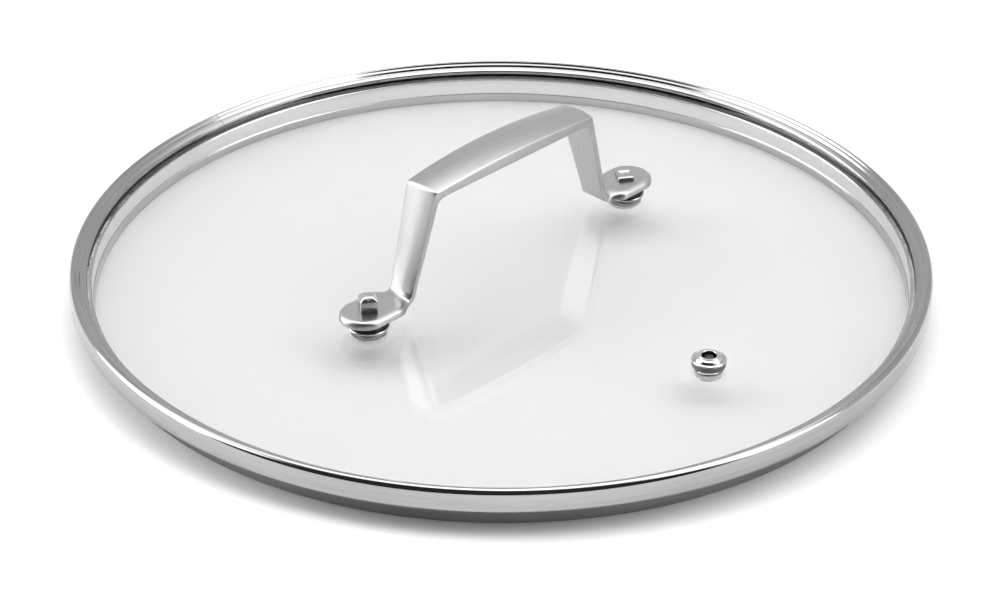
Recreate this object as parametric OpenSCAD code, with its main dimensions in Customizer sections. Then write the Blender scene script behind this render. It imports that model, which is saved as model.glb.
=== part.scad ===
// Flat glass pan lid with a rolled steel rim, a bridge handle and a steam vent.
// Millimetres, +Z up. The origin is on the lid's axis, level with the skirt's lower edge.
// The handle runs along X and the vent is on the -Y side.

/* [Pan] */
// inside diameter of the pan the lid drops into
pan_d = 280; // [160:10:320]
// gap between the skirt and the pan wall, all round
skirt_gap = 1.9; // [0.5:0.1:4]
// how far the skirt reaches down below the ledge
skirt_depth = 8.2; // [5:0.1:16]

/* [Glass] */
// thickness of the glass disc
glass_t = 4; // [3:0.5:6]
// gap between the edge of the glass and the band
glass_gap = 0.2; // [0.1:0.05:0.6]
// bevel ground on the edge of the glass
glass_bevel = 0.6; // [0.2:0.1:1.2]

/* [Rim] */
// how far the bead stands out past the skirt
bead_over = 6.9; // [5:0.1:10]
// thickness of the steel band
band_t = 0.6; // [0.4:0.1:1]
// height of the bead's crest above the glass
crest_h = 3.4; // [2.6:0.1:5]
// rounding of the bead's outer top corner
crest_r = 2; // [1:0.1:2.4]
// rounding where the bead turns in under the glass
turn_r = 1; // [0.7:0.1:2]
// width of the bead seen from above
lip_w = 5.7; // [5:0.1:9]
// height of the hem folded up inside the skirt
hem_h = 3.1; // [1:0.1:5]

/* [Handle] */
// distance between the two rivets
rivet_span = 125; // [90:1:150]
// height of the grip's corners above the glass
grip_h = 42.8; // [32:0.1:60]
// distance between the two corners of the grip
grip_len = 76; // [56:1:96]
// how far the grip rises in the middle of its length
grip_rise = 2.7; // [1:0.1:6]
// how far the underside of the grip rises in the middle
under_rise = 0.9; // [0.2:0.1:1.2]
// width of the grip in the middle
grip_w = 15.5; // [12:0.1:24]
// width of the grip at its corners
corner_w = 13.4; // [10:0.1:20]
// width of the leg just above the foot
ankle_w = 10.3; // [8:0.1:16]
// radius of the grip's rounded top, measured across it
crown_r = 30; // [14:1:60]
// thickness of the grip at its corners
grip_t = 3.4; // [2.6:0.1:6]
// thickness of the legs
strap_t = 2.7; // [2:0.1:4]
// thickness of each foot
foot_t = 2.7; // [2:0.1:4]
// width of each foot
foot_w = 16.2; // [13:0.1:20]
// distance from the rivet to the centre of the foot's round end
foot_past = 2; // [0:0.1:4]
// distance from the rivet back to the leg
heel_back = 13.9; // [11:0.1:18]
// rounding between each leg and the top of its foot
heel_r = 2.5; // [1:0.1:5]
// rounding under each bend
sole_r = 4; // [1:0.1:6]
// rounding between each leg and the underside of the grip
pit_r = 3; // [1:0.1:6]

/* [Rivets] */
// diameter of the rivet shank
shank_d = 4.8; // [3:0.1:6]
// width of the square tail formed on top of the foot
tail_w = 5.9; // [5.5:0.1:8]
// height of the tail on the -X side
near_tail_h = 5.4; // [1:0.1:8]
// height of the tail on the +X side
far_tail_h = 1.4; // [1:0.1:8]
// angle the square tails are turned by
tail_turn = -35; // [-45:1:45]
// diameter of the rivet head under the glass
head_d = 9; // [7:0.1:12]
// thickness of the rivet head
head_h = 1.6; // [1:0.1:3]

/* [Seals and washers] */
// diameter of the holes drilled in the glass for the rivets
glass_hole_d = 8; // [7:0.1:12]
// diameter of the cup washer's rim
cup_d = 13.8; // [12:0.1:18]
// height of the cup washer
cup_h = 1.3; // [1.2:0.1:3]
// height of the foot above the glass
foot_lift = 4.2; // [3:0.1:6]
// thickness of the gaskets under the glass
gasket_t = 1; // [0.6:0.1:2]
// diameter of the gaskets under the glass
gasket_d = 12; // [10:0.1:15]
// thickness of the backing washers
washer_t = 0.8; // [0.5:0.1:1.5]
// diameter of the backing washers
washer_d = 9.8; // [9:0.1:14]

/* [Vent] */
// distance from the lid's axis to the vent
vent_at = 94.8; // [50:0.1:115]
// direction of the vent seen from above, square to the handle at -90
vent_turn = -92; // [-120:1:-60]
// diameter of the vent's bore
vent_bore_d = 4.9; // [3:0.1:6]
// diameter of the vent's flange
vent_flange_d = 11.4; // [10:0.1:14]
// height of the flange's underside above the glass
vent_lift = 2; // [0.8:0.1:3]
// diameter of the hole drilled in the glass for the vent
vent_hole_d = 8; // [7.6:0.1:9]

/* [Hidden] */

$fn = 96;
bite = 0.2;                                   // how far filler shapes sink into their neighbour
past = 1;                                     // how far cutters reach past what they cut

skirt_r = pan_d / 2 - skirt_gap;              // outside of the skirt
bead_r = skirt_r + bead_over;                 // outside of the bead
ledge_z = skirt_depth;                        // underside of the ledge
glass_z = ledge_z + band_t;                   // underside of the glass
top_z = glass_z + glass_t;                    // top of the glass
glass_r = bead_r - band_t - glass_gap;
lip_r = bead_r - lip_w;                       // inner edge of the bead on the glass
crest_z = top_z + crest_h;

// centre of the crest's rounding, and the ramp that runs up to it from the lip
crest_c = [bead_r - crest_r, crest_z - crest_r];
ramp_start = [lip_r, top_z + band_t];
ramp_run = crest_c[0] - ramp_start[0];
ramp_up = crest_c[1] - ramp_start[1];
ramp_far = sqrt(ramp_run * ramp_run + ramp_up * ramp_up);
ramp_a = atan2(ramp_up, ramp_run) + asin(crest_r / ramp_far);
ramp_n = [-sin(ramp_a), cos(ramp_a)];
ramp_top = crest_c + crest_r * ramp_n;
ramp_in_top = crest_c + (crest_r - band_t) * ramp_n;
ramp_in_r = lip_r - band_t / tan(ramp_a) + band_t / sin(ramp_a);

// handle, measured from the top of the glass
foot_z = foot_lift;
foot_top = foot_lift + foot_t;
rivet_x = rivet_span / 2;
foot_end_x = rivet_x + foot_past;
corner_x = grip_len / 2;
heel_x = rivet_x - heel_back;                 // where the leg's outer face meets the foot
lean = atan2(heel_x - corner_x, grip_h - foot_top);
leg_in = strap_t / cos(lean);                 // strap thickness measured along X
sole_x = heel_x - leg_in + foot_t * tan(lean); // where the leg's inner face meets the foot's underside
long_r = (corner_x * corner_x + grip_rise * grip_rise) / (2 * grip_rise);
under_r = (corner_x * corner_x + under_rise * under_rise) / (2 * under_rise);
under_z = grip_h - grip_t;                    // underside of the grip at its corners
pit_x = corner_x - leg_in + grip_t * tan(lean); // where the leg's inner face meets that underside
shoulder = 8;                                 // how far the leg's outline runs in under the grip
flare_gap = 2;                                // from the heel to where the foot starts to widen
flare_run = 6;                                // length over which it widens
flare_start = heel_x + flare_gap;
flare_end = flare_start + flare_run;
tall = grip_h + grip_rise + 2 * past;         // higher than anything in the handle
side_rise = (grip_w - corner_w) / 2;
side_r = (corner_x * corner_x + side_rise * side_rise) / (2 * side_rise);

// fixings, measured from the top of the glass
shank_gap = 0.1;
hole_gap = 0.1;
foot_hole_d = shank_d + 2 * shank_gap;
cup_wall = 0.75;
cup_in_d = cup_d - 2 * cup_wall;
seal_d = cup_in_d - 2 * hole_gap;
cup_floor = 0.6;
cup_taper = 0.7;                              // how much narrower the cup is at its foot
cup_band = 0.5;                               // height of the upright part of its wall
tail_bevel = 1.5;
tail_bevel_share = 0.3;                       // most of a low tail's height its bevel may take
under_glass = -glass_t;
washer_top = under_glass - gasket_t;
head_top = washer_top - washer_t;

vent_pos = [vent_at * cos(vent_turn), vent_at * sin(vent_turn), top_z];
vent_tube_t = 0.55;
vent_tube_d = vent_bore_d + 2 * vent_tube_t;
vent_tube_hole = vent_tube_d + 2 * shank_gap;
vent_edge = 0.15;                             // how far the flange stands out past its gasket
vent_gasket_d = vent_flange_d - 2 * vent_edge;
vent_seat = 0.7;                              // how far the lower gasket reaches past the hole
vent_washer_in = 0.2;                         // how far its washer stands back from its edge
vent_lower_d = vent_hole_d + 2 * vent_seat;
vent_washer_d = vent_lower_d - 2 * vent_washer_in;
vent_flange_t = 0.6;
vent_step = 1.2;                              // width of the flange outside the dome
vent_dome_r = 1.2;
vent_dome_sink = 0.3;
vent_mouth_r = 0.34;
vent_washer_t = 0.6;
vent_curl_t = 0.5;
vent_curl_w = 1.9;

// shapes used more than once

// the gap between a corner and a circle of radius r that touches both its sides
module spandrel(a1, a2, r) {
    half = (a2 - a1) / 2;
    mid = (a1 + a2) / 2;
    reach = r / tan(half);
    away = r / sin(half);
    difference() {
        polygon([
            -bite * [cos(mid), sin(mid)],
            reach * [cos(a1), sin(a1)],
            away * [cos(mid), sin(mid)],
            reach * [cos(a2), sin(a2)]
        ]);
        translate(away * [cos(mid), sin(mid)])
            circle(r = r);
    }
}

// flat ring with its lower face at z
module ring(d, hole, z, h) {
    translate([0, 0, z])
        difference() {
            cylinder(d = d, h = h);
            translate([0, 0, -past])
                cylinder(d = hole, h = h + 2 * past);
        }
}

module at_near() {
    translate([-rivet_x, 0, top_z])
        children();
}

module at_far() {
    translate([rivet_x, 0, top_z])
        children();
}

module at_vent() {
    translate(vent_pos)
        children();
}

// glass and rim

module glass_outline() {
    polygon([
        [0, glass_z],
        [glass_r - glass_bevel, glass_z],
        [glass_r, glass_z + glass_bevel],
        [glass_r, top_z - glass_bevel],
        [glass_r - glass_bevel, top_z],
        [0, top_z]
    ]);
}

module glass() {
    color([0.86, 0.9, 0.9, 0.35])
        difference() {
            rotate_extrude()
                glass_outline();
            for (x = [-rivet_x, rivet_x])
                translate([x, 0, glass_z - past])
                    cylinder(d = glass_hole_d, h = glass_t + 2 * past);
            translate([vent_pos[0], vent_pos[1], glass_z - past])
                cylinder(d = vent_hole_d, h = glass_t + 2 * past);
        }
}

// section of the band with its inside still filled in
module band_outer() {
    difference() {
        union() {
            polygon([
                [skirt_r - band_t, ledge_z],
                [bead_r, ledge_z],
                [bead_r, crest_c[1]],
                crest_c,
                ramp_top,
                ramp_start,
                [lip_r, glass_z],
                [skirt_r - band_t, glass_z]
            ]);
            translate(crest_c)
                circle(r = crest_r);
        }
        translate([bead_r, ledge_z])
            spandrel(90, 180, turn_r);
    }
}

// the channel the glass sits in, and the hollow under the crest
module band_inner() {
    translate([lip_r / 2, glass_z])
        square([bead_r - band_t - lip_r / 2, glass_t]);
    polygon([
        [ramp_in_r, top_z - bite],
        [bead_r - band_t, top_z - bite],
        [bead_r - band_t, crest_c[1]],
        crest_c,
        ramp_in_top,
        [ramp_in_r, top_z]
    ]);
    translate(crest_c)
        circle(r = crest_r - band_t);
}

module rim_band() {
    color([0.78, 0.78, 0.8])
        rotate_extrude() {
            difference() {
                band_outer();
                band_inner();
            }
            translate([skirt_r - band_t, 0])
                square([band_t, ledge_z + band_t]);
            translate([skirt_r - 2 * band_t, 0])
                square([band_t + bite, hem_h]);
        }
}

// handle

// half of the grip seen from the side
module grip_side() {
    difference() {
        translate([0, under_z - under_rise])
            square([corner_x, grip_h + grip_rise - under_z + under_rise]);
        translate([0, under_z + under_rise - under_r])
            circle(r = under_r, $fn = 720);
    }
}

// one end of the strap seen from the side: leg, bend and foot. The leg runs on past the corner,
// where the crown trims it
module strap_side() {
    difference() {
        union() {
            polygon([
                [sole_x, foot_z],
                [heel_x, foot_top],
                [corner_x - past * tan(lean), grip_h + past],
                [corner_x - leg_in - past * tan(lean), grip_h + past]
            ]);
            translate([sole_x, foot_z])
                square([foot_end_x + foot_w / 2 - sole_x, foot_t]);
            translate([heel_x, foot_top])
                spandrel(0, 90 + lean, heel_r);
        }
        translate([sole_x, foot_z])
            spandrel(0, 90 + lean, sole_r);
    }
}

// one leg and foot seen from above
module strap_plan() {
    polygon([
        [corner_x - shoulder, -corner_w / 2],
        [corner_x, -corner_w / 2],
        [flare_start, -ankle_w / 2],
        [flare_end, -foot_w / 2],
        [foot_end_x, -foot_w / 2],
        [foot_end_x, foot_w / 2],
        [flare_end, foot_w / 2],
        [flare_start, ankle_w / 2],
        [corner_x, corner_w / 2],
        [corner_x - shoulder, corner_w / 2]
    ]);
    translate([foot_end_x, 0])
        circle(d = foot_w);
}

// a side view pushed out to the full width of the foot
module across() {
    rotate([90, 0, 0])
        linear_extrude(height = foot_w + 2 * past, center = true)
            children();
}

// tall cylinder whose wall gives one long edge of the grip its slight bow
module bow(side) {
    translate([0, side * (grip_w / 2 - side_r), -past])
        cylinder(r = side_r, h = tall + past, $fn = 720);
}

// a fat ring whose outer surface gives the grip its crown, along and across
module crown() {
    translate([0, 0, grip_h + grip_rise - long_r])
        rotate([90, 0, 0])
            rotate_extrude($fn = 360)
                translate([long_r - crown_r, 0])
                    circle(r = crown_r);
}

module half_grip() {
    intersection() {
        across()
            grip_side();
        bow(1);
        bow(-1);
    }
}

module strap() {
    difference() {
        intersection() {
            across() {
                strap_side();
                translate([pit_x, under_z])
                    spandrel(180, 270 + lean, pit_r);
            }
            translate([0, 0, -past])
                linear_extrude(height = tall + past)
                    strap_plan();
        }
        translate([rivet_x, 0, foot_z - past])
            cylinder(d = foot_hole_d, h = foot_t + 2 * past);
    }
}

module handle() {
    color([0.72, 0.72, 0.74])
        translate([0, 0, top_z])
            intersection() {
                union() {
                    half_grip();
                    strap();
                    mirror([1, 0, 0]) {
                        half_grip();
                        strap();
                    }
                }
                crown();
            }
}

// rivets, seals and washers

// square tail with its top edges bevelled
module tail(h) {
    bevel = min(tail_bevel, h * tail_bevel_share);
    rotate([0, 0, tail_turn])
        difference() {
            translate([-tail_w / 2, -tail_w / 2, foot_top])
                cube([tail_w, tail_w, h]);
            for (i = [0:3])
                rotate([0, 0, 90 * i])
                    translate([tail_w / 2 - bevel, -tail_w, foot_top + h])
                        rotate([0, 45, 0])
                            cube([2 * tail_w, 2 * tail_w, tail_w]);
        }
}

module rivet(h) {
    dome_r = (head_d * head_d / 4 + head_h * head_h) / (2 * head_h);
    color([0.7, 0.7, 0.72])
        union() {
            tail(h);
            translate([0, 0, head_top - bite])
                cylinder(d = shank_d, h = foot_top - head_top + 2 * bite);
            intersection() {
                translate([0, 0, head_top - head_h])
                    cylinder(d = head_d + 2 * past, h = head_h);
                translate([0, 0, head_top - head_h + dome_r])
                    sphere(r = dome_r);
            }
        }
}

module cup() {
    rim = (cup_d - cup_in_d) / 2;
    color([0.8, 0.8, 0.82])
        rotate_extrude()
            difference() {
                union() {
                    polygon([
                        [foot_hole_d / 2, 0],
                        [cup_d / 2 - cup_taper, 0],
                        [cup_d / 2, cup_h - cup_band],
                        [cup_d / 2, cup_h - rim / 2],
                        [cup_in_d / 2, cup_h - rim / 2],
                        [foot_hole_d / 2, cup_h - rim / 2]
                    ]);
                    translate([cup_d / 2 - rim / 2, cup_h - rim / 2])
                        circle(d = rim);
                }
                translate([foot_hole_d / 2 - past, cup_floor])
                    square([cup_in_d / 2 - foot_hole_d / 2 + past, cup_h]);
            }
}

module seal() {
    color([0.04, 0.04, 0.04])
        ring(seal_d, foot_hole_d, cup_floor, foot_z - cup_floor);
}

// flat gasket under the glass with a neck that lines the drilled hole
module gasket() {
    color([0.85, 0.85, 0.84])
        union() {
            ring(gasket_d, foot_hole_d, under_glass - gasket_t, gasket_t);
            ring(glass_hole_d - 2 * hole_gap, foot_hole_d, under_glass - gasket_t / 2, glass_t + gasket_t / 2);
        }
}

module washer() {
    color([0.75, 0.75, 0.77])
        ring(washer_d, foot_hole_d, head_top, washer_t);
}

module near_rivet() {
    at_near() rivet(near_tail_h);
}

module near_cup() {
    at_near() cup();
}

module near_seal() {
    at_near() seal();
}

module near_gasket() {
    at_near() gasket();
}

module near_washer() {
    at_near() washer();
}

module far_rivet() {
    at_far() rivet(far_tail_h);
}

module far_cup() {
    at_far() cup();
}

module far_seal() {
    at_far() seal();
}

module far_gasket() {
    at_far() gasket();
}

module far_washer() {
    at_far() washer();
}

// steam vent

// section of the eyelet: curled foot, tube, flange, domed collar and rolled mouth
module eyelet_section() {
    bore_r = vent_bore_d / 2;
    tube_r = vent_tube_d / 2;
    low = under_glass - gasket_t - vent_washer_t;
    flange_top = vent_lift + vent_flange_t;
    dome_x = vent_flange_d / 2 - vent_step - vent_dome_r;
    translate([bore_r, low - vent_curl_t])
        square([tube_r - bore_r, vent_lift + vent_flange_t - low + vent_curl_t]);
    translate([bore_r, low - vent_curl_t])
        square([vent_curl_w, vent_curl_t]);
    translate([bore_r, vent_lift])
        square([vent_flange_d / 2 - bore_r, vent_flange_t]);
    intersection() {
        translate([dome_x, flange_top - vent_dome_sink])
            circle(r = vent_dome_r);
        translate([bore_r, vent_lift])
            square([vent_flange_d, 2 * vent_dome_r]);
    }
    translate([bore_r, vent_lift])
        square([vent_mouth_r, vent_flange_t + vent_dome_r - vent_dome_sink]);
    translate([bore_r, flange_top])
        square([dome_x - bore_r, vent_dome_r - vent_dome_sink]);
    translate([bore_r + vent_mouth_r, flange_top + vent_dome_r - vent_dome_sink])
        circle(r = vent_mouth_r);
}

module vent_eyelet() {
    color([0.82, 0.82, 0.84])
        at_vent()
            rotate_extrude()
                eyelet_section();
}

module vent_gasket() {
    color([0.35, 0.35, 0.36])
        at_vent() {
            ring(vent_gasket_d, vent_tube_hole, 0, vent_lift);
            ring(vent_hole_d - 2 * hole_gap, vent_tube_hole, under_glass, glass_t + vent_lift / 2);
        }
}

module vent_lower_gasket() {
    color([0.85, 0.85, 0.84])
        at_vent()
            ring(vent_lower_d, vent_tube_hole, under_glass - gasket_t, gasket_t);
}

module vent_washer() {
    color([0.75, 0.75, 0.77])
        at_vent()
            ring(
                vent_washer_d,
                vent_tube_hole,
                under_glass - gasket_t - vent_washer_t,
                vent_washer_t
            );
}

glass();
rim_band();
handle();
near_rivet();
near_cup();
near_seal();
near_gasket();
near_washer();
far_rivet();
far_cup();
far_seal();
far_gasket();
far_washer();
vent_eyelet();
vent_gasket();
vent_lower_gasket();
vent_washer();
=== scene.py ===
import math

import bmesh
import bpy
from mathutils import Euler, Matrix, Vector


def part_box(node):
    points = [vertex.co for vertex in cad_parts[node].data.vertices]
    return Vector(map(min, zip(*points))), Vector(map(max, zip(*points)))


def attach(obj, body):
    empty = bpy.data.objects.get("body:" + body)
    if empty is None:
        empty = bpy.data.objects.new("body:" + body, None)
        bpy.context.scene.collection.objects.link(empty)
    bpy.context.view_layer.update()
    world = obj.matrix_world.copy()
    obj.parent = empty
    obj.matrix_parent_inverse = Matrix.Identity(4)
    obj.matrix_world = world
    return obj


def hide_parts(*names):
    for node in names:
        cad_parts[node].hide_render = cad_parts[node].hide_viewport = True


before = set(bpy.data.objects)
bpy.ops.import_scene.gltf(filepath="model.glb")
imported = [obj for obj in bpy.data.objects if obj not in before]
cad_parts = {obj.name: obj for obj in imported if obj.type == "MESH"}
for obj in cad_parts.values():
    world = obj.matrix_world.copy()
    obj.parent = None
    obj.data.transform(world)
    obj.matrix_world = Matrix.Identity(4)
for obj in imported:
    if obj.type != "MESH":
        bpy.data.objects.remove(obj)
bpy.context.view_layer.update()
mm = 0.001
rootBody = "root"


def centreOf(node):
    low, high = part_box(node)
    return (low + high) / 2 / mm


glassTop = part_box("glass")[1].z / mm
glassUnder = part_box("glass")[0].z / mm
footCentre = {"near": centreOf("near_rivet").x, "far": centreOf("far_rivet").x}
ventCentre = centreOf("vent_eyelet")
print("frame loaded, glass top at", round(glassTop, 2), "mm")


# nodes shared by the materials

def newMaterial(name):
    material = bpy.data.materials.new(name)
    material.use_nodes = True
    tree = material.node_tree
    return material, tree, tree.nodes["Principled BSDF"]


def addNode(tree, kind, inputs=None, **settings):
    node = tree.nodes.new(kind)
    for key, value in settings.items():
        setattr(node, key, value)
    for key, value in (inputs or {}).items():
        if isinstance(value, bpy.types.NodeSocket):
            tree.links.new(value, node.inputs[key])
        else:
            node.inputs[key].default_value = value
    return node


def objectPoint(tree, centre=(0, 0, 0)):
    # the object's own coordinates, moved so that the pattern is centred on the piece
    coords = addNode(tree, "ShaderNodeTexCoord")
    moved = addNode(tree, "ShaderNodeMapping", {"Vector": coords.outputs["Object"]})
    moved.inputs["Location"].default_value = [-c * mm for c in centre]
    return moved.outputs["Vector"]


def rangeOf(tree, value, low, high, fromLow=0.0, fromHigh=1.0):
    node = addNode(tree, "ShaderNodeMapRange", {"Value": value})
    node.inputs["From Min"].default_value = fromLow
    node.inputs["From Max"].default_value = fromHigh
    node.inputs["To Min"].default_value = low
    node.inputs["To Max"].default_value = high
    return node.outputs["Result"]


def noiseOn(tree, vector, scale, detail=2.0, rough=0.5):
    node = addNode(tree, "ShaderNodeTexNoise", {"Vector": vector})
    node.inputs["Scale"].default_value = scale
    node.inputs["Detail"].default_value = detail
    node.inputs["Roughness"].default_value = rough
    return node.outputs["Fac"]


def mathOf(tree, operation, a, b=0.0):
    return addNode(tree, "ShaderNodeMath", {0: a, 1: b}, operation=operation).outputs[0]


def turnedPoint(tree, centre, along, across):
    # (angle, radius, height): noise read on it runs in rings, as a lathe or a polishing wheel leaves it
    spot = addNode(tree, "ShaderNodeSeparateXYZ", {0: objectPoint(tree, centre)})
    x, y, z = spot.outputs
    angle = mathOf(tree, "ARCTAN2", y, x)
    squares = mathOf(tree, "ADD", mathOf(tree, "MULTIPLY", x, x), mathOf(tree, "MULTIPLY", y, y))
    radius = mathOf(tree, "SQRT", squares)
    packed = addNode(tree, "ShaderNodeCombineXYZ", {
        0: mathOf(tree, "MULTIPLY", angle, along),
        1: mathOf(tree, "MULTIPLY", radius, across),
        2: mathOf(tree, "MULTIPLY", z, across),
    })
    return packed.outputs[0]


def stretchedPoint(tree, scales):
    coords = addNode(tree, "ShaderNodeTexCoord")
    stretched = addNode(tree, "ShaderNodeMapping", {"Vector": coords.outputs["Object"]})
    stretched.inputs["Scale"].default_value = scales
    return stretched.outputs["Vector"]


def mixColour(tree, amount, dark, light):
    node = addNode(tree, "ShaderNodeMix", data_type="RGBA")
    tree.links.new(amount, node.inputs["Factor"])
    node.inputs["A"].default_value = (*dark, 1)
    node.inputs["B"].default_value = (*light, 1)
    return node.outputs["Result"]


# noise mostly stays between low and high, and streakShare is the streaks' part of a steel finish
noiseSpread = dict(low=0.3, high=0.7, streakShare=0.6)


def spreadOf(tree, noise, low, high):
    return rangeOf(tree, noise, low, high, noiseSpread["low"], noiseSpread["high"])


def addBump(tree, shader, height, look):
    bump = addNode(tree, "ShaderNodeBump", {"Height": height})
    bump.inputs["Strength"].default_value = look["bump"]
    bump.inputs["Distance"].default_value = look["depth"] * mm
    tree.links.new(bump.outputs[0], shader.inputs["Normal"])


def finishSteel(tree, shader, streaks, blotches, look, inside=None):
    # streaks and blotches are noise values; look holds the limits they are mapped to
    share = noiseSpread["streakShare"]
    both = mathOf(tree, "ADD", mathOf(tree, "MULTIPLY", streaks, share),
                  mathOf(tree, "MULTIPLY", blotches, 1 - share))
    colour = mixColour(tree, spreadOf(tree, both, 0, 1), look["dark"], look["light"])
    if inside is not None:
        # painted light: the inner side of the band is painted lighter than the rest, a painted reflection, and its
        # folded hem gets less of it, a painted shade
        blend = addNode(tree, "ShaderNodeMix", data_type="RGBA")
        tree.links.new(inside, blend.inputs["Factor"])
        tree.links.new(colour, blend.inputs["A"])
        blend.inputs["B"].default_value = (*look["inside"], 1)
        colour = blend.outputs["Result"]
    tree.links.new(colour, shader.inputs["Base Color"])
    tree.links.new(spreadOf(tree, both, look["roughLow"], look["roughHigh"]), shader.inputs["Roughness"])
    shader.inputs["Metallic"].default_value = 1.0
    addBump(tree, shader, streaks, look)


# materials

def turnedSteel(name, centre, look):
    material, tree, shader = newMaterial(name)
    streaks = noiseOn(tree, turnedPoint(tree, centre, look["along"], look["across"]), 1.0, 3.0, 0.6)
    blotches = noiseOn(tree, objectPoint(tree, centre), look["blotches"], 3.0)
    inside = None
    if "seam" in look:
        # a butt weld, ground flush: a narrow dull line square across the band
        spot = addNode(tree, "ShaderNodeSeparateXYZ", {0: objectPoint(tree, centre)})
        angle = mathOf(tree, "ARCTAN2", spot.outputs[1], spot.outputs[0])
        flat = addNode(tree, "ShaderNodeCombineXYZ", {0: spot.outputs[0], 1: spot.outputs[1]})
        length = addNode(tree, "ShaderNodeVectorMath", {0: flat.outputs[0]}, operation="LENGTH")
        radius = length.outputs["Value"]
        # mask for painted light: full inside the band's inner radius, a painted reflection, and cut down on the
        # hem, a painted shade
        wall = rangeOf(tree, radius, 1, 0, look["insideRadius"] * mm, look["insideEnd"] * mm)
        hem = rangeOf(tree, radius, look["hemPaintedLightShare"], 1, look["hemRadius"] * mm, look["hemEnd"] * mm)
        inside = mathOf(tree, "MULTIPLY", wall, hem)
        away = mathOf(tree, "ABSOLUTE", mathOf(tree, "SUBTRACT", angle, math.radians(look["seam"])))
        weld = rangeOf(tree, away, 1, 0, look["seamHalf"], look["seamEnd"])
        streaks = mathOf(tree, "SUBTRACT", streaks, mathOf(tree, "MULTIPLY", weld, look["seamDepth"]))
    finishSteel(tree, shader, streaks, blotches, look, inside)
    return material


def satinSteel(name, look):
    material, tree, shader = newMaterial(name)
    streaks = noiseOn(tree, stretchedPoint(tree, look["stretch"]), 1.0, 3.0, 0.6)
    blotches = noiseOn(tree, objectPoint(tree), look["blotches"], 4.0)
    finishSteel(tree, shader, streaks, blotches, look)
    return material


def clearGlass(name, look):
    material, tree, shader = newMaterial(name)
    haze = noiseOn(tree, objectPoint(tree), look["hazeScale"], 4.0)
    rough = rangeOf(tree, haze, look["roughLow"], look["roughHigh"], look["hazeLow"], look["hazeHigh"])
    tree.links.new(rough, shader.inputs["Roughness"])
    tint = mixColour(tree, haze, look["dark"], look["light"])
    tree.links.new(tint, shader.inputs["Base Color"])
    shader.inputs["Transmission Weight"].default_value = 1.0
    shader.inputs["IOR"].default_value = look["ior"]
    return material


def rubber(name, look):
    material, tree, shader = newMaterial(name)
    grain = noiseOn(tree, objectPoint(tree), look["grain"], 3.0)
    tree.links.new(mixColour(tree, grain, look["dark"], look["light"]), shader.inputs["Base Color"])
    tree.links.new(spreadOf(tree, grain, look["roughLow"], look["roughHigh"]), shader.inputs["Roughness"])
    shader.inputs["Specular IOR Level"].default_value = look["specular"]
    addBump(tree, shader, grain, look)
    return material


# inside is painted light: the band's inner face is painted much lighter than the rest of its steel, a painted
# reflection, and the folded hem keeps only part of it, a painted shade
rimLook = dict(dark=(0.31, 0.31, 0.314), light=(0.41, 0.41, 0.414), roughLow=0.07, roughHigh=0.15,
               along=3.0, across=700.0, blotches=25.0, bump=0.05, depth=0.02,
               seam=90.2, seamHalf=0.0022, seamEnd=0.00352, seamDepth=0.5,
               inside=(0.78, 0.78, 0.785), insideRadius=137.6, insideEnd=137.8,
               hemRadius=137.0, hemEnd=137.1, hemPaintedLightShare=0.3)
brightLook = dict(dark=(0.5, 0.5, 0.505), light=(0.64, 0.64, 0.645), roughLow=0.05, roughHigh=0.11,
                  along=3.0, across=1500.0, blotches=300.0, bump=0.05, depth=0.01)
washerLook = dict(dark=(0.66, 0.66, 0.665), light=(0.78, 0.78, 0.785), roughLow=0.22, roughHigh=0.36,
                  along=3.0, across=1800.0, blotches=300.0, bump=0.2, depth=0.02)
rivetLook = dict(dark=(0.4, 0.4, 0.404), light=(0.54, 0.54, 0.545), roughLow=0.18, roughHigh=0.3,
                 stretch=(500, 500, 300), blotches=400.0, bump=0.12, depth=0.03)
handleLook = dict(dark=(0.4, 0.4, 0.404), light=(0.46, 0.46, 0.465), roughLow=0.27, roughHigh=0.33,
                  stretch=(60, 1500, 60), blotches=40.0, bump=0.035, depth=0.02)
glassLook = dict(dark=(0.985, 0.985, 0.985), light=(0.995, 0.995, 0.995), roughLow=0.0, roughHigh=0.008,
                 hazeScale=35.0, hazeLow=0.35, hazeHigh=0.65, ior=1.5)
blackLook = dict(dark=(0.008, 0.008, 0.008), light=(0.022, 0.022, 0.022), roughLow=0.35, roughHigh=0.55,
                 grain=900.0, bump=0.3, depth=0.03, specular=0.5)
greyLook = dict(dark=(0.14, 0.14, 0.14), light=(0.2, 0.2, 0.2), roughLow=0.35, roughHigh=0.5,
                grain=900.0, bump=0.3, depth=0.03, specular=0.5)
paleLook = dict(dark=(0.8, 0.8, 0.8), light=(0.88, 0.88, 0.88), roughLow=0.35, roughHigh=0.5,
                grain=900.0, bump=0.3, depth=0.03, specular=0.4)

glassMaterial = clearGlass("clearGlass", glassLook)
rimMaterial = turnedSteel("rimSteel", (0, 0, 0), rimLook)
handleMaterial = satinSteel("satinSteel", handleLook)
rivetMaterial = satinSteel("rivetSteel", rivetLook)
blackMaterial = rubber("blackRubber", blackLook)
greyMaterial = rubber("greyRubber", greyLook)
paleMaterial = rubber("paleRubber", paleLook)
print("materials made")


# making meshes

def finishPiece(piece, replaced, sharpDegrees=32.0, flatTops=False):
    # closed, outward faces, crisp edges kept crisp, then handed to the frame
    shape = bmesh.new()
    shape.from_mesh(piece.data)
    bmesh.ops.remove_doubles(shape, verts=shape.verts, dist=0.002 * mm)
    bmesh.ops.dissolve_degenerate(shape, edges=shape.edges, dist=0.001 * mm)
    bmesh.ops.recalc_face_normals(shape, faces=shape.faces)
    shape.to_mesh(piece.data)
    shape.free()
    piece.data.shade_smooth()
    piece.data.set_sharp_from_angle(angle=math.radians(sharpDegrees))
    if flatTops:
        for face in piece.data.polygons:
            face.use_smooth = abs(face.normal.z) < 0.9999
    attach(piece, rootBody)
    if replaced:
        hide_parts(replaced)
    return piece


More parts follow.
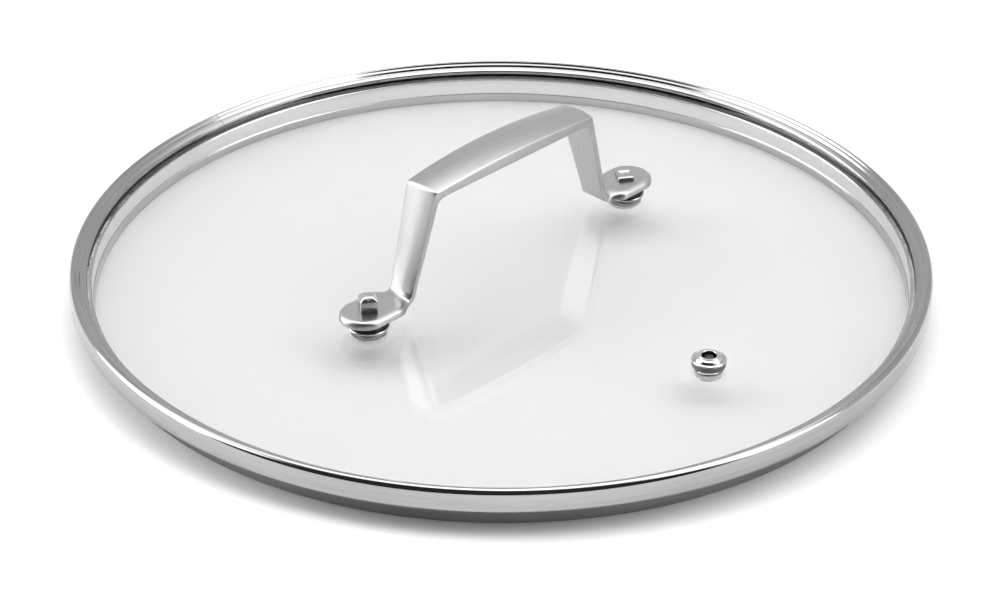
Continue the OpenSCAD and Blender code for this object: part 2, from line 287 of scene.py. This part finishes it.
def meshPiece(name, points, faces, material):
    mesh = bpy.data.meshes.new(name)
    mesh.from_pydata([Vector(p) * mm for p in points], [], faces)
    mesh.materials.append(material)
    piece = bpy.data.objects.new(name, mesh)
    bpy.context.scene.collection.objects.link(piece)
    return piece


def filletOutline(corners, steps=6):
    # corners are (radius, height, rounding); gives the outline with each corner rounded by an arc
    points = []
    count = len(corners)
    for i, (x, y, rounding) in enumerate(corners):
        here = Vector((x, y))
        before = Vector(corners[i - 1][:2]) - here
        after = Vector(corners[(i + 1) % count][:2]) - here
        if rounding <= 0:
            points.append(here)
            continue
        half = before.angle(after) / 2
        reach = rounding / math.tan(half)
        towards = (before.normalized() + after.normalized()).normalized()
        middle = here + towards * rounding / math.sin(half)
        start = here + before.normalized() * reach - middle
        end = here + after.normalized() * reach - middle
        turn = start.angle_signed(end)
        for k in range(steps + 1):
            spoke = start.copy()
            spoke.rotate(Matrix.Rotation(-turn * k / steps, 2))
            points.append(middle + spoke)
    return points


# Geometry Nodes tree that spins an outline round the Z axis: rim, washers, seals and eyelet
def makeTurnedTree():
    tree = bpy.data.node_groups.new("turnedPart", "GeometryNodeTree")
    sockets = tree.interface
    sockets.new_socket("Outline", in_out="INPUT", socket_type="NodeSocketGeometry")
    steps = sockets.new_socket("Steps", in_out="INPUT", socket_type="NodeSocketInt")
    steps.default_value = 96
    sockets.new_socket("Centre", in_out="INPUT", socket_type="NodeSocketVector")
    sockets.new_socket("Material", in_out="INPUT", socket_type="NodeSocketMaterial")
    sockets.new_socket("Part", in_out="OUTPUT", socket_type="NodeSocketGeometry")
    source = tree.nodes.new("NodeGroupInput").outputs
    size = addNode(tree, "GeometryNodeAttributeDomainSize", {"Geometry": source["Outline"]})
    columns = mathOf(tree, "ADD", source["Steps"], 1.0)
    rows = size.outputs["Point Count"]
    grid = addNode(tree, "GeometryNodeMeshGrid", {"Vertices X": rows, "Vertices Y": columns})
    index = tree.nodes.new("GeometryNodeInputIndex").outputs[0]
    row = mathOf(tree, "FLOOR", mathOf(tree, "DIVIDE", mathOf(tree, "ADD", index, 0.5), columns))
    column = mathOf(tree, "SUBTRACT", index, mathOf(tree, "MULTIPLY", row, columns))
    place = tree.nodes.new("GeometryNodeInputPosition").outputs[0]
    picked = addNode(tree, "GeometryNodeSampleIndex", data_type="FLOAT_VECTOR")
    tree.links.new(source["Outline"], picked.inputs["Geometry"])
    tree.links.new(place, picked.inputs["Value"])
    tree.links.new(row, picked.inputs["Index"])
    angle = mathOf(tree, "MULTIPLY", mathOf(tree, "DIVIDE", column, source["Steps"]), 2 * math.pi)
    spun = addNode(tree, "ShaderNodeVectorRotate", {"Vector": picked.outputs[0], "Angle": angle},
                   rotation_type="Z_AXIS")
    moved = addNode(tree, "ShaderNodeVectorMath", {0: spun.outputs[0], 1: source["Centre"]}, operation="ADD")
    shaped = addNode(tree, "GeometryNodeSetPosition",
                     {"Geometry": grid.outputs["Mesh"], "Position": moved.outputs[0]})
    closed = addNode(tree, "GeometryNodeMergeByDistance",
                     {"Geometry": shaped.outputs[0], "Distance": 0.001 * mm})
    whole = addNode(tree, "GeometryNodeRealizeInstances", {"Geometry": closed.outputs[0]})
    painted = addNode(tree, "GeometryNodeSetMaterial",
                      {"Geometry": whole.outputs[0], "Material": source["Material"]})
    tree.links.new(painted.outputs[0], tree.nodes.new("NodeGroupOutput").inputs[0])
    return tree


def runTree(name, tree, base, settings, material):
    # base goes through the tree once and comes out as a plain mesh
    carrier = bpy.data.objects.new(name + "Base", base)
    bpy.context.scene.collection.objects.link(carrier)
    modifier = carrier.modifiers.new("build", "NODES")
    modifier.node_group = tree
    for item in tree.interface.items_tree:
        if item.item_type == "SOCKET" and item.in_out == "INPUT" and item.name in settings:
            modifier[item.identifier] = settings[item.name]
    bpy.context.view_layer.update()
    graph = bpy.context.evaluated_depsgraph_get()
    mesh = bpy.data.meshes.new_from_object(carrier.evaluated_get(graph))
    mesh.name = name
    if not mesh.materials:
        mesh.materials.append(material)
    bpy.data.objects.remove(carrier)
    piece = bpy.data.objects.new(name, mesh)
    bpy.context.scene.collection.objects.link(piece)
    return piece


turnedTree = makeTurnedTree()


def turnedPiece(name, corners, centre, material, node, steps=96, filletSteps=5):
    outline = filletOutline(corners, filletSteps)
    outline.append(outline[0])
    base = bpy.data.meshes.new(name + "Outline")
    base.from_pydata([(p.x * mm, 0, p.y * mm) for p in outline], [], [])
    settings = {"Steps": steps, "Centre": Vector(centre) * mm, "Material": material}
    return finishPiece(runTree(name, turnedTree, base, settings, material), node)


# glass

glassSizes = dict(radius=144.2, bevel=0.7, holeRadius=4.0, holeBevel=0.35, steps=360, holeSteps=64)


def circlePoints(centre, radius, height, steps):
    return [
        (centre[0] + radius * math.cos(2 * math.pi * k / steps),
         centre[1] + radius * math.sin(2 * math.pi * k / steps), height)
        for k in range(steps)
    ]


def wallLevels(radius, bevel, outward):
    # (radius, height) from the top face down to the bottom face, with ground and softened edges
    side = -1 if outward else 1
    levels = []
    for k in range(5):
        a = math.pi / 2 * k / 4
        levels.append((radius + side * bevel * (1 - math.sin(a)), glassTop - bevel * (1 - math.cos(a))))
    return levels + [(r, glassTop + glassUnder - z) for r, z in reversed(levels)]


def makeGlass():
    sizes = glassSizes
    points, faces = [], []
    holes = [(footCentre["near"], 0), (footCentre["far"], 0), (ventCentre.x, ventCentre.y)]
    rims = [((0, 0), sizes["radius"], sizes["bevel"], sizes["steps"], True)]
    rims += [(h, sizes["holeRadius"], sizes["holeBevel"], sizes["holeSteps"], False) for h in holes]
    top, bottom = [], []
    for centre, radius, bevel, steps, outward in rims:
        levels = wallLevels(radius, bevel, outward)
        first = len(points)
        for r, z in levels:
            points += circlePoints(centre, r, z, steps)
        for row in range(len(levels) - 1):
            for k in range(steps):
                a = first + row * steps + k
                b = first + row * steps + (k + 1) % steps
                faces.append((a, a + steps, b + steps, b))
        top.append([first + k for k in range(steps)])
        bottom.append([first + (len(levels) - 1) * steps + k for k in range(steps)])
    piece = meshPiece("lidGlass", points, faces, glassMaterial)
    shape = bmesh.new()
    shape.from_mesh(piece.data)
    shape.verts.ensure_lookup_table()
    for loops in (top, bottom):
        edges = [
            shape.edges.get((shape.verts[loop[k]], shape.verts[loop[(k + 1) % len(loop)]]))
            for loop in loops for k in range(len(loop))
        ]
        bmesh.ops.triangle_fill(shape, use_beauty=True, edges=edges)
    shape.to_mesh(piece.data)
    shape.free()
    return finishPiece(piece, "glass", 40.0, flatTops=True)


makeGlass()
print("glass made")

# rim band

rimSizes = dict(
    skirt=138.1, bead=145.0, lip=139.3, wall=0.6, ledge=8.2, crest=16.2, crestRound=1.9,
    hem=3.1, hemStep=0.5, hemGap=0.12,
    # (radius, height, rounding) of the two shallow steps down from the crest to the lip
    steps=[(143.05, 16.2, 0.7), (142.45, 15.5, 0.6), (141.85, 15.35, 0.6), (141.2, 14.6, 0.6), (140.5, 14.45, 0.7)],
)


def makeRim():
    s = rimSizes
    wall = s["wall"]
    under = s["ledge"] + wall
    inside = s["skirt"] - wall
    corners = [
        (inside - wall, 0.0, 0.3), (s["skirt"], 0.0, 0.35),
        (s["skirt"], s["ledge"], 0.35), (s["bead"], s["ledge"], 1.0),
        (s["bead"], s["crest"], s["crestRound"]), *s["steps"],
        (s["lip"], glassTop + 1.15, 0.45), (s["lip"], glassTop, 0.12),
        (s["lip"] + wall, glassTop, 0.1), (s["lip"] + wall, glassTop + 0.65, 0.2), (140.9, glassTop + 0.9, 1.2),
        (143.1, s["crest"] - wall, 1.0), (s["bead"] - wall, s["crest"] - wall, 1.4),
        (s["bead"] - wall, under, 0.4), (inside, under, 0.6),
        (inside, s["hem"] - s["hemStep"], 0.04), (inside - s["hemGap"], s["hem"] - s["hemStep"], 0.04),
        (inside - s["hemGap"], s["hem"], 0.08), (inside - wall, s["hem"], 0.22),
    ]
    return turnedPiece("rimBand", corners, (0, 0, 0), rimMaterial, "rim_band", 360, 5)


makeRim()
print("rim band made")

# handle

# heights are above the glass, lengths along X from the middle of the grip
handleSizes = dict(
    cornerX=38.0, cornerHeight=42.8, rise=2.7, underHeight=39.4, underRise=0.9,
    footTop=6.9, footUnder=4.2, heelX=48.6, strap=2.7, noseX=64.5, noseRadius=8.1,
    heelRound=2.5, soleRound=4.0, pitRound=3.0,
    gripHalf=7.75, cornerHalf=6.7, ankleHalf=5.05, ankleHeight=12.0, ankleX=49.4, flareEnd=55.6, cornerCut=0.4,
    gripCrown=1.0, legCrown=0.95, footEdge=1.5, legEdge=0.55, gripEdge=0.42, underEdge=0.3,
    cornerLead=2.4, cornerStep=0.6,  # short sections on both sides of the sharp corner
    noseCrowd=1.3, legTaper=0.85, crownAtCorner=0.75, crownLoss=0.2,
)


def arcPoints(centre, radius, fromDegrees, toDegrees, count):
    out = []
    for k in range(count):
        a = math.radians(fromDegrees + (toDegrees - fromDegrees) * k / (count - 1))
        out.append(Vector((centre[0] + radius * math.cos(a), centre[1] + radius * math.sin(a))))
    return out


def linePoints(start, end, count):
    return [Vector(start).lerp(Vector(end), k / (count - 1)) for k in range(count)]


def smooth(t):
    t = min(1.0, max(0.0, t))
    return t * t * (3 - 2 * t)


def handleStations():
    # one end of the strap, from the tip of its foot to the middle of the grip:
    # (outer point, inner point, half width, crown, edge rounding)
    s = handleSizes
    lean = math.atan2(s["heelX"] - s["cornerX"], s["cornerHeight"] - s["footTop"])
    leanDegrees = math.degrees(lean)
    up = Vector((-math.sin(lean), math.cos(lean)))
    half = math.radians(90 + leanDegrees) / 2
    heel = Vector((s["heelX"], s["footTop"]))
    across = s["strap"] / math.cos(lean)
    sole = Vector((s["heelX"] - across + (s["footTop"] - s["footUnder"]) * math.tan(lean), s["footUnder"]))
    corner = Vector((s["cornerX"], s["cornerHeight"]))
    gripThick = s["cornerHeight"] - s["underHeight"]
    pit = Vector((s["cornerX"] - across + gripThick * math.tan(lean), s["underHeight"]))
    heelReach, soleReach = s["heelRound"] / math.tan(half), s["soleRound"] / math.tan(half)
    pitReach = s["pitRound"] / math.tan(half)
    longRadius = (s["cornerX"] ** 2 + s["rise"] ** 2) / (2 * s["rise"])
    underRadius = (s["cornerX"] ** 2 + s["underRise"] ** 2) / (2 * s["underRise"])

    def gripTop(x):
        return Vector((x, s["cornerHeight"] + s["rise"] - longRadius + math.sqrt(longRadius ** 2 - x * x)))

    def gripUnder(x):
        return Vector((x, s["underHeight"] + s["underRise"] - underRadius + math.sqrt(underRadius ** 2 - x * x)))

    outer, inner, nose = [], [], []
    for k in range(15):
        a = math.pi / 2 * (k / 14) ** s["noseCrowd"]
        x = s["noseX"] + s["noseRadius"] * math.cos(a)
        outer.append(Vector((x, s["footTop"])))
        inner.append(Vector((x, s["footUnder"])))
        nose.append(x)
    outer += linePoints((s["noseX"], s["footTop"]), heel + Vector((heelReach, 0)), 13)[1:]
    inner += linePoints((s["noseX"], s["footUnder"]), sole + Vector((soleReach, 0)), 13)[1:]
    outer += arcPoints(heel + Vector((heelReach, s["heelRound"])), s["heelRound"], -90, -180 + leanDegrees, 11)[1:]
    inner += arcPoints(sole + Vector((soleReach, s["soleRound"])), s["soleRound"], -90, -180 + leanDegrees, 11)[1:]
    outer += linePoints(outer[-1], corner - up * s["cornerLead"], 17)[1:]
    inner += linePoints(inner[-1], pit - up * pitReach, 17)[1:]
    pitArc = arcPoints(pit + Vector((-pitReach, -s["pitRound"])), s["pitRound"], leanDegrees, 90, 9)
    outer += linePoints(outer[-1], corner - up * s["cornerCut"], 5)[1:]
    outer += [gripTop(s["cornerX"] - s["cornerCut"] - s["cornerStep"] * k) for k in range(4)]
    inner += pitArc[1:]
    lastX, lastUnder = outer[-1].x, inner[-1].x
    for k in range(1, 25):
        outer.append(gripTop(lastX * (1 - k / 24)))
        inner.append(gripUnder(lastUnder * (1 - k / 24)))

    stations = []
    ankle = next(i for i, p in enumerate(outer) if p.x < s["ankleX"])
    flareStart = next(i for i, p in enumerate(outer) if p.x < s["flareEnd"])
    lengths = [0.0]
    for a, b in zip(outer, outer[1:]):
        lengths.append(lengths[-1] + (b - a).length)
    for i, (top, low) in enumerate(zip(outer, inner)):
        flare = smooth((lengths[i] - lengths[flareStart]) / (lengths[ankle] - lengths[flareStart]))
        climb = max(0.0, (top.y - s["ankleHeight"]) / (s["cornerHeight"] - s["ankleHeight"]))
        if top.x < s["cornerX"]:
            bow = 1 - (top.x / s["cornerX"]) ** 2
            wide = s["cornerHalf"] + (s["gripHalf"] - s["cornerHalf"]) * bow
            crown = s["gripCrown"] * (s["crownAtCorner"] + (1 - s["crownAtCorner"]) * bow)
            edge = s["gripEdge"]
        elif i >= ankle:
            wide = s["ankleHalf"] + (s["cornerHalf"] - s["ankleHalf"]) * climb ** s["legTaper"]
            crown = s["legCrown"] * (1 - s["crownLoss"] * climb)
            edge = s["legEdge"]
        else:
            wide = s["noseRadius"] + (s["ankleHalf"] - s["noseRadius"]) * flare
            crown = s["legCrown"] * flare
            edge = s["footEdge"] + (s["legEdge"] - s["footEdge"]) * flare
        stations.append((top, low, wide, crown, edge))
    return stations


def sectionRing(top, low, wide, crown, edge):
    # points round one section: across the outer face, then back across the inner one
    s = handleSizes
    inNose = top.x - s["noseX"] if top.x > s["noseX"] else 0.0
    reach = s["noseRadius"] if inNose else wide
    out = (top - low).normalized()

    def sideAt(depth):
        return math.sqrt(max(0.0, (reach - depth) ** 2 - inNose ** 2))

    def face(rounding, drop, edgeSteps, faceSteps, place, sign):
        depths = [rounding * (1 - math.cos(math.pi / 2 * k / edgeSteps)) for k in range(edgeSteps + 1)]
        sides = [-sideAt(d) for d in depths]
        flat = -sides[-1]
        sides += [flat * (2 * k / faceSteps - 1) for k in range(1, faceSteps)]
        sides += [sideAt(d) for d in reversed(depths)]
        ring = []
        for y in sides:
            depth = reach - math.hypot(inNose, y)
            fall = 0.0
            if depth < rounding:
                fall = rounding - math.sqrt(max(0.0, rounding ** 2 - (rounding - depth) ** 2))
            fall += drop * (y / wide) ** 2 if wide else 0.0
            spot = place - sign * out * fall
            ring.append((spot.x, y, spot.y))
        return ring

    outerFace = face(edge, crown, 5, 12, top, 1)
    innerFace = face(s["underEdge"], 0.0, 3, 8, low, -1)
    return outerFace + innerFace[::-1]


def makeHandle():
    half = handleStations()
    rings = [sectionRing(*station) for station in half]
    mirrored = [[(-x, y, z) for x, y, z in ring] for ring in reversed(rings[:-1])]
    rings += mirrored
    count = len(rings[0])
    points = [(x, y, z + glassTop) for ring in rings for x, y, z in ring]
    faces = []
    for row in range(len(rings) - 1):
        for k in range(count):
            a, b = row * count + k, row * count + (k + 1) % count
            faces.append((a, b, b + count, a + count))
    piece = meshPiece("bridgeHandle", points, faces, handleMaterial)
    return finishPiece(piece, "handle", 34.0)


makeHandle()
print("handle made")

# rivets, cups, seals and washers at the two feet

# heights are above the glass
rivetSizes = dict(shank=2.4, head=4.5, headTop=-5.8, headHeight=1.6, footTop=6.9, tailHalf=2.95, turn=-35.0)
tailLevels = {
    # (inset, height above the foot, corner rounding)
    "near": [(0.12, 0.0, 0.45), (0.0, 0.15, 0.45), (0.0, 3.75, 0.45), (0.08, 4.05, 0.5), (0.35, 4.5, 0.6),
             (1.15, 5.25, 0.7), (1.5, 5.4, 0.7), (2.2, 5.4, 0.5)],
    "far": [(0.15, 0.0, 0.5), (0.0, 0.12, 0.5), (0.0, 0.95, 0.5), (0.1, 1.2, 0.5), (0.35, 1.38, 0.55),
            (0.6, 1.4, 0.6), (0.95, 1.12, 0.8), (1.6, 0.95, 1.0)],
}


def squareRing(half, rounding, height, turn, arcSteps=8):
    # a circle when the rounding is as large as half the width
    ring = []
    inner = half - rounding
    for quarter, (right, ahead) in enumerate([(1, 1), (-1, 1), (-1, -1), (1, -1)]):
        for k in range(arcSteps + 1):
            a = math.radians(90 * quarter + 90 * k / arcSteps)
            spot = Vector((inner * right + rounding * math.cos(a), inner * ahead + rounding * math.sin(a)))
            spot.rotate(Matrix.Rotation(math.radians(turn), 2))
            ring.append((spot.x, spot.y, height))
    return ring


def makeRivet(end):
    s = rivetSizes
    domeRadius = (s["head"] ** 2 + s["headHeight"] ** 2) / (2 * s["headHeight"])
    rings = []
    for k in range(9):
        r = max(0.01, s["head"] * math.sin(math.pi / 2 * k / 8))
        drop = domeRadius - math.sqrt(domeRadius ** 2 - r * r)
        rings.append(squareRing(r, r, s["headTop"] - s["headHeight"] + drop, s["turn"]))
    rings.append(squareRing(s["shank"], s["shank"], s["headTop"], s["turn"]))
    rings.append(squareRing(s["shank"], s["shank"], s["footTop"], s["turn"]))
    for inset, height, rounding in tailLevels[end]:
        rings.append(squareRing(s["tailHalf"] - inset, rounding, s["footTop"] + height, s["turn"]))
    count = len(rings[0])
    points = [(x + footCentre[end], y, z + glassTop) for ring in rings for x, y, z in ring]
    faces = [tuple(range(count))[::-1], tuple(range(len(points) - count, len(points)))]
    for row in range(len(rings) - 1):
        for k in range(count):
            a, b = row * count + k, row * count + (k + 1) % count
            faces.append((a, b, b + count, a + count))
    piece = meshPiece(end + "Rivet", points, faces, rivetMaterial)
    return finishPiece(piece, end + "_rivet", 30.0)


# outlines as (radius, height above the glass, rounding)
cupOutline = [(2.5, 0.0, 0), (6.0, 0.0, 0.4), (6.9, 0.75, 0.5), (6.9, 1.3, 0.3), (6.2, 1.3, 0.3),
              (6.15, 0.6, 0.2), (2.5, 0.6, 0)]
sealOutline = [(2.5, 0.6, 0), (6.05, 0.6, 0.2), (6.05, 2.3, 0.35), (5.85, 2.55, 0.2), (6.05, 2.8, 0.35),
               (6.0, 4.2, 0.5), (2.5, 4.2, 0)]
gasketOutline = [(2.5, -5.0, 0), (6.0, -5.0, 0.35), (6.0, -4.0, 0.2), (3.9, -4.0, 0.0), (3.9, 0.0, 0.0),
                 (2.5, 0.0, 0)]
backingOutline = [(2.5, -5.8, 0.1), (4.9, -5.8, 0.25), (4.9, -5.0, 0.12), (2.5, -5.0, 0.1)]


def raised(outline, height):
    return [(r, z + height, rounding) for r, z, rounding in outline]


for end in ("near", "far"):
    spot = (footCentre[end], 0, 0)
    endSteel = turnedSteel(end + "CupSteel", spot, brightLook)
    endWasher = turnedSteel(end + "WasherSteel", spot, washerLook)
    makeRivet(end)
    turnedPiece(end + "Cup", raised(cupOutline, glassTop), spot, endSteel, end + "_cup")
    turnedPiece(end + "Seal", raised(sealOutline, glassTop), spot, blackMaterial, end + "_seal")
    turnedPiece(end + "Gasket", raised(gasketOutline, glassTop), spot, paleMaterial, end + "_gasket")
    turnedPiece(end + "Washer", raised(backingOutline, glassTop), spot, endWasher, end + "_washer")
print("rivets, cups, seals and washers made")

# steam vent

eyeletOutline = [
    (2.45, -6.1, 0.2), (4.35, -6.1, 0.25), (4.35, -5.65, 0.2), (3.0, -5.6, 0.15), (3.0, 2.0, 0.1),
    (5.7, 2.0, 0.2), (5.7, 2.45, 0.3), (5.2, 2.65, 0.2), (4.75, 2.5, 0.12), (4.6, 2.95, 0.35), (4.15, 3.35, 0.5),
    (3.4, 3.55, 0.12), (3.25, 3.84, 0.16), (2.45, 3.84, 0.3),
]
ventGasketOutline = [(3.1, -4.0, 0), (3.9, -4.0, 0), (3.9, 0.0, 0), (5.55, 0.0, 0.25),
                     (5.55, 2.0, 0.3), (3.1, 2.0, 0)]
lowerGasketOutline = [(3.1, -5.0, 0), (4.7, -5.0, 0.3), (4.7, -4.0, 0.2), (3.1, -4.0, 0)]
ventWasherOutline = [(3.1, -5.6, 0.1), (4.5, -5.6, 0.2), (4.5, -5.0, 0.12), (3.1, -5.0, 0.1)]


def makeVent():
    spot = (ventCentre.x, ventCentre.y, 0)
    eyeletSteel = turnedSteel("eyeletSteel", spot, brightLook)
    washerSteel = turnedSteel("ventWasherSteel", spot, washerLook)
    rows = [
        ("ventEyelet", eyeletOutline, eyeletSteel, "polished_steel", "vent_eyelet"),
        ("ventGasket", ventGasketOutline, greyMaterial, "grey_rubber", "vent_gasket"),
        ("ventLowerGasket", lowerGasketOutline, paleMaterial, "pale_rubber", "vent_lower_gasket"),
        ("ventWasher", ventWasherOutline, washerSteel, "washer_steel", "vent_washer"),
    ]
    for name, outline, material, slotName, node in rows:
        turnedPiece(name, raised(outline, glassTop), spot, material, node)


makeVent()
print("vent made")

# floor, light and camera

floorLook = dict(half=4000, dark=(0.9, 0.9, 0.9), light=(0.92, 0.92, 0.92), patches=3.0, rough=0.9, specular=0.1)


def makeFloor():
    material, tree, shader = newMaterial("paleFloor")
    patches = noiseOn(tree, objectPoint(tree), floorLook["patches"])
    tree.links.new(mixColour(tree, patches, floorLook["dark"], floorLook["light"]), shader.inputs["Base Color"])
    shader.inputs["Roughness"].default_value = floorLook["rough"]
    shader.inputs["Specular IOR Level"].default_value = floorLook["specular"]
    half = floorLook["half"]
    points = [(-half, -half, 0), (half, -half, 0), (half, half, 0), (-half, half, 0)]
    meshPiece("floor", points, [(0, 1, 2, 3)], material)


# azimuth is measured from +X seen from above, sizes are half angles in degrees
studio = dict(
    ceiling=4.0, horizon=0.8, wallTop=0.68, ceilingStart=1.0,
    dark=0.05, darkAzimuth=-150.0, darkElevation=20.0, darkWidth=72.0, darkFade=0.18, boxFade=1.15,
    boxes=[
        dict(azimuth=127.0, elevation=20.0, halfWidth=20.0, halfHeight=30.0, strength=4.4),
        dict(azimuth=-60.0, elevation=36.0, halfWidth=14.0, halfHeight=26.0, strength=3.2),
    ],
)


def makeWorld():
    world = bpy.data.worlds.new("studio")
    bpy.context.scene.world = world
    world.use_nodes = True
    tree = world.node_tree
    background = tree.nodes["Background"]
    way = addNode(tree, "ShaderNodeTexCoord").outputs["Generated"]
    height = addNode(tree, "ShaderNodeSeparateXYZ", {0: way}).outputs["Z"]
    light = rangeOf(tree, height, studio["horizon"], studio["ceiling"], studio["wallTop"], studio["ceilingStart"])

    def facing(azimuth, elevation):
        a, e = math.radians(azimuth), math.radians(elevation)
        return (math.cos(a) * math.cos(e), math.sin(a) * math.cos(e), math.sin(e))

    def along(direction):
        node = addNode(tree, "ShaderNodeVectorMath", {0: way, 1: direction}, operation="DOT_PRODUCT")
        return node.outputs["Value"]

    # dark room behind the camera, fading out sideways and upwards
    darkEdge = math.cos(math.radians(studio["darkWidth"]))
    darkWay = along(facing(studio["darkAzimuth"], studio["darkElevation"]))
    room = rangeOf(tree, darkWay, 0, 1, darkEdge, darkEdge + studio["darkFade"])
    light = mathOf(tree, "ADD", mathOf(tree, "MULTIPLY", light, mathOf(tree, "SUBTRACT", 1.0, room)),
                   mathOf(tree, "MULTIPLY", room, studio["dark"]))
    for box in studio["boxes"]:
        front = Vector(facing(box["azimuth"], box["elevation"]))
        side = Vector(facing(box["azimuth"] + 90, 0))
        upward = front.cross(side)
        depth = mathOf(tree, "MAXIMUM", along(front), 0.001)
        x = mathOf(tree, "ABSOLUTE", mathOf(tree, "DIVIDE", along(side), depth))
        y = mathOf(tree, "ABSOLUTE", mathOf(tree, "DIVIDE", along(upward), depth))
        wide, tall = math.tan(math.radians(box["halfWidth"])), math.tan(math.radians(box["halfHeight"]))
        fade = studio["boxFade"]
        inside = mathOf(tree, "MULTIPLY", rangeOf(tree, x, 1, 0, wide, wide * fade),
                        rangeOf(tree, y, 1, 0, tall, tall * fade))
        light = mathOf(tree, "ADD", light, mathOf(tree, "MULTIPLY", inside, box["strength"]))
    tree.links.new(light, background.inputs["Strength"])
    background.inputs["Color"].default_value = (1, 1, 1, 1)


# tilt, pan and roll turn the camera a little away from the middle of the glass
cameraSizes = dict(distance=1044.0, elevation=29.94, azimuth=-136.47, lens=111.13, tilt=0.7, pan=0.022, roll=0.24)


def makeCamera():
    s = cameraSizes
    lens = bpy.data.cameras.new("camera")
    lens.lens = s["lens"]
    lens.clip_start = 0.01
    camera = bpy.data.objects.new("camera", lens)
    bpy.context.scene.collection.objects.link(camera)
    a, e = math.radians(s["azimuth"]), math.radians(s["elevation"])
    back = Vector((math.cos(a) * math.cos(e), math.sin(a) * math.cos(e), math.sin(e)))
    camera.location = (Vector((0, 0, glassTop)) + back * s["distance"]) * mm
    aim = (-back).to_track_quat("-Z", "Y")
    turn = Euler([math.radians(v) for v in (-s["tilt"], s["pan"], s["roll"])]).to_quaternion()
    camera.rotation_mode = "QUATERNION"
    camera.rotation_quaternion = aim @ turn
    bpy.context.scene.camera = camera


makeFloor()
makeWorld()
makeCamera()
bpy.context.scene.view_settings.view_transform = "Standard"
print("floor, light and camera made")
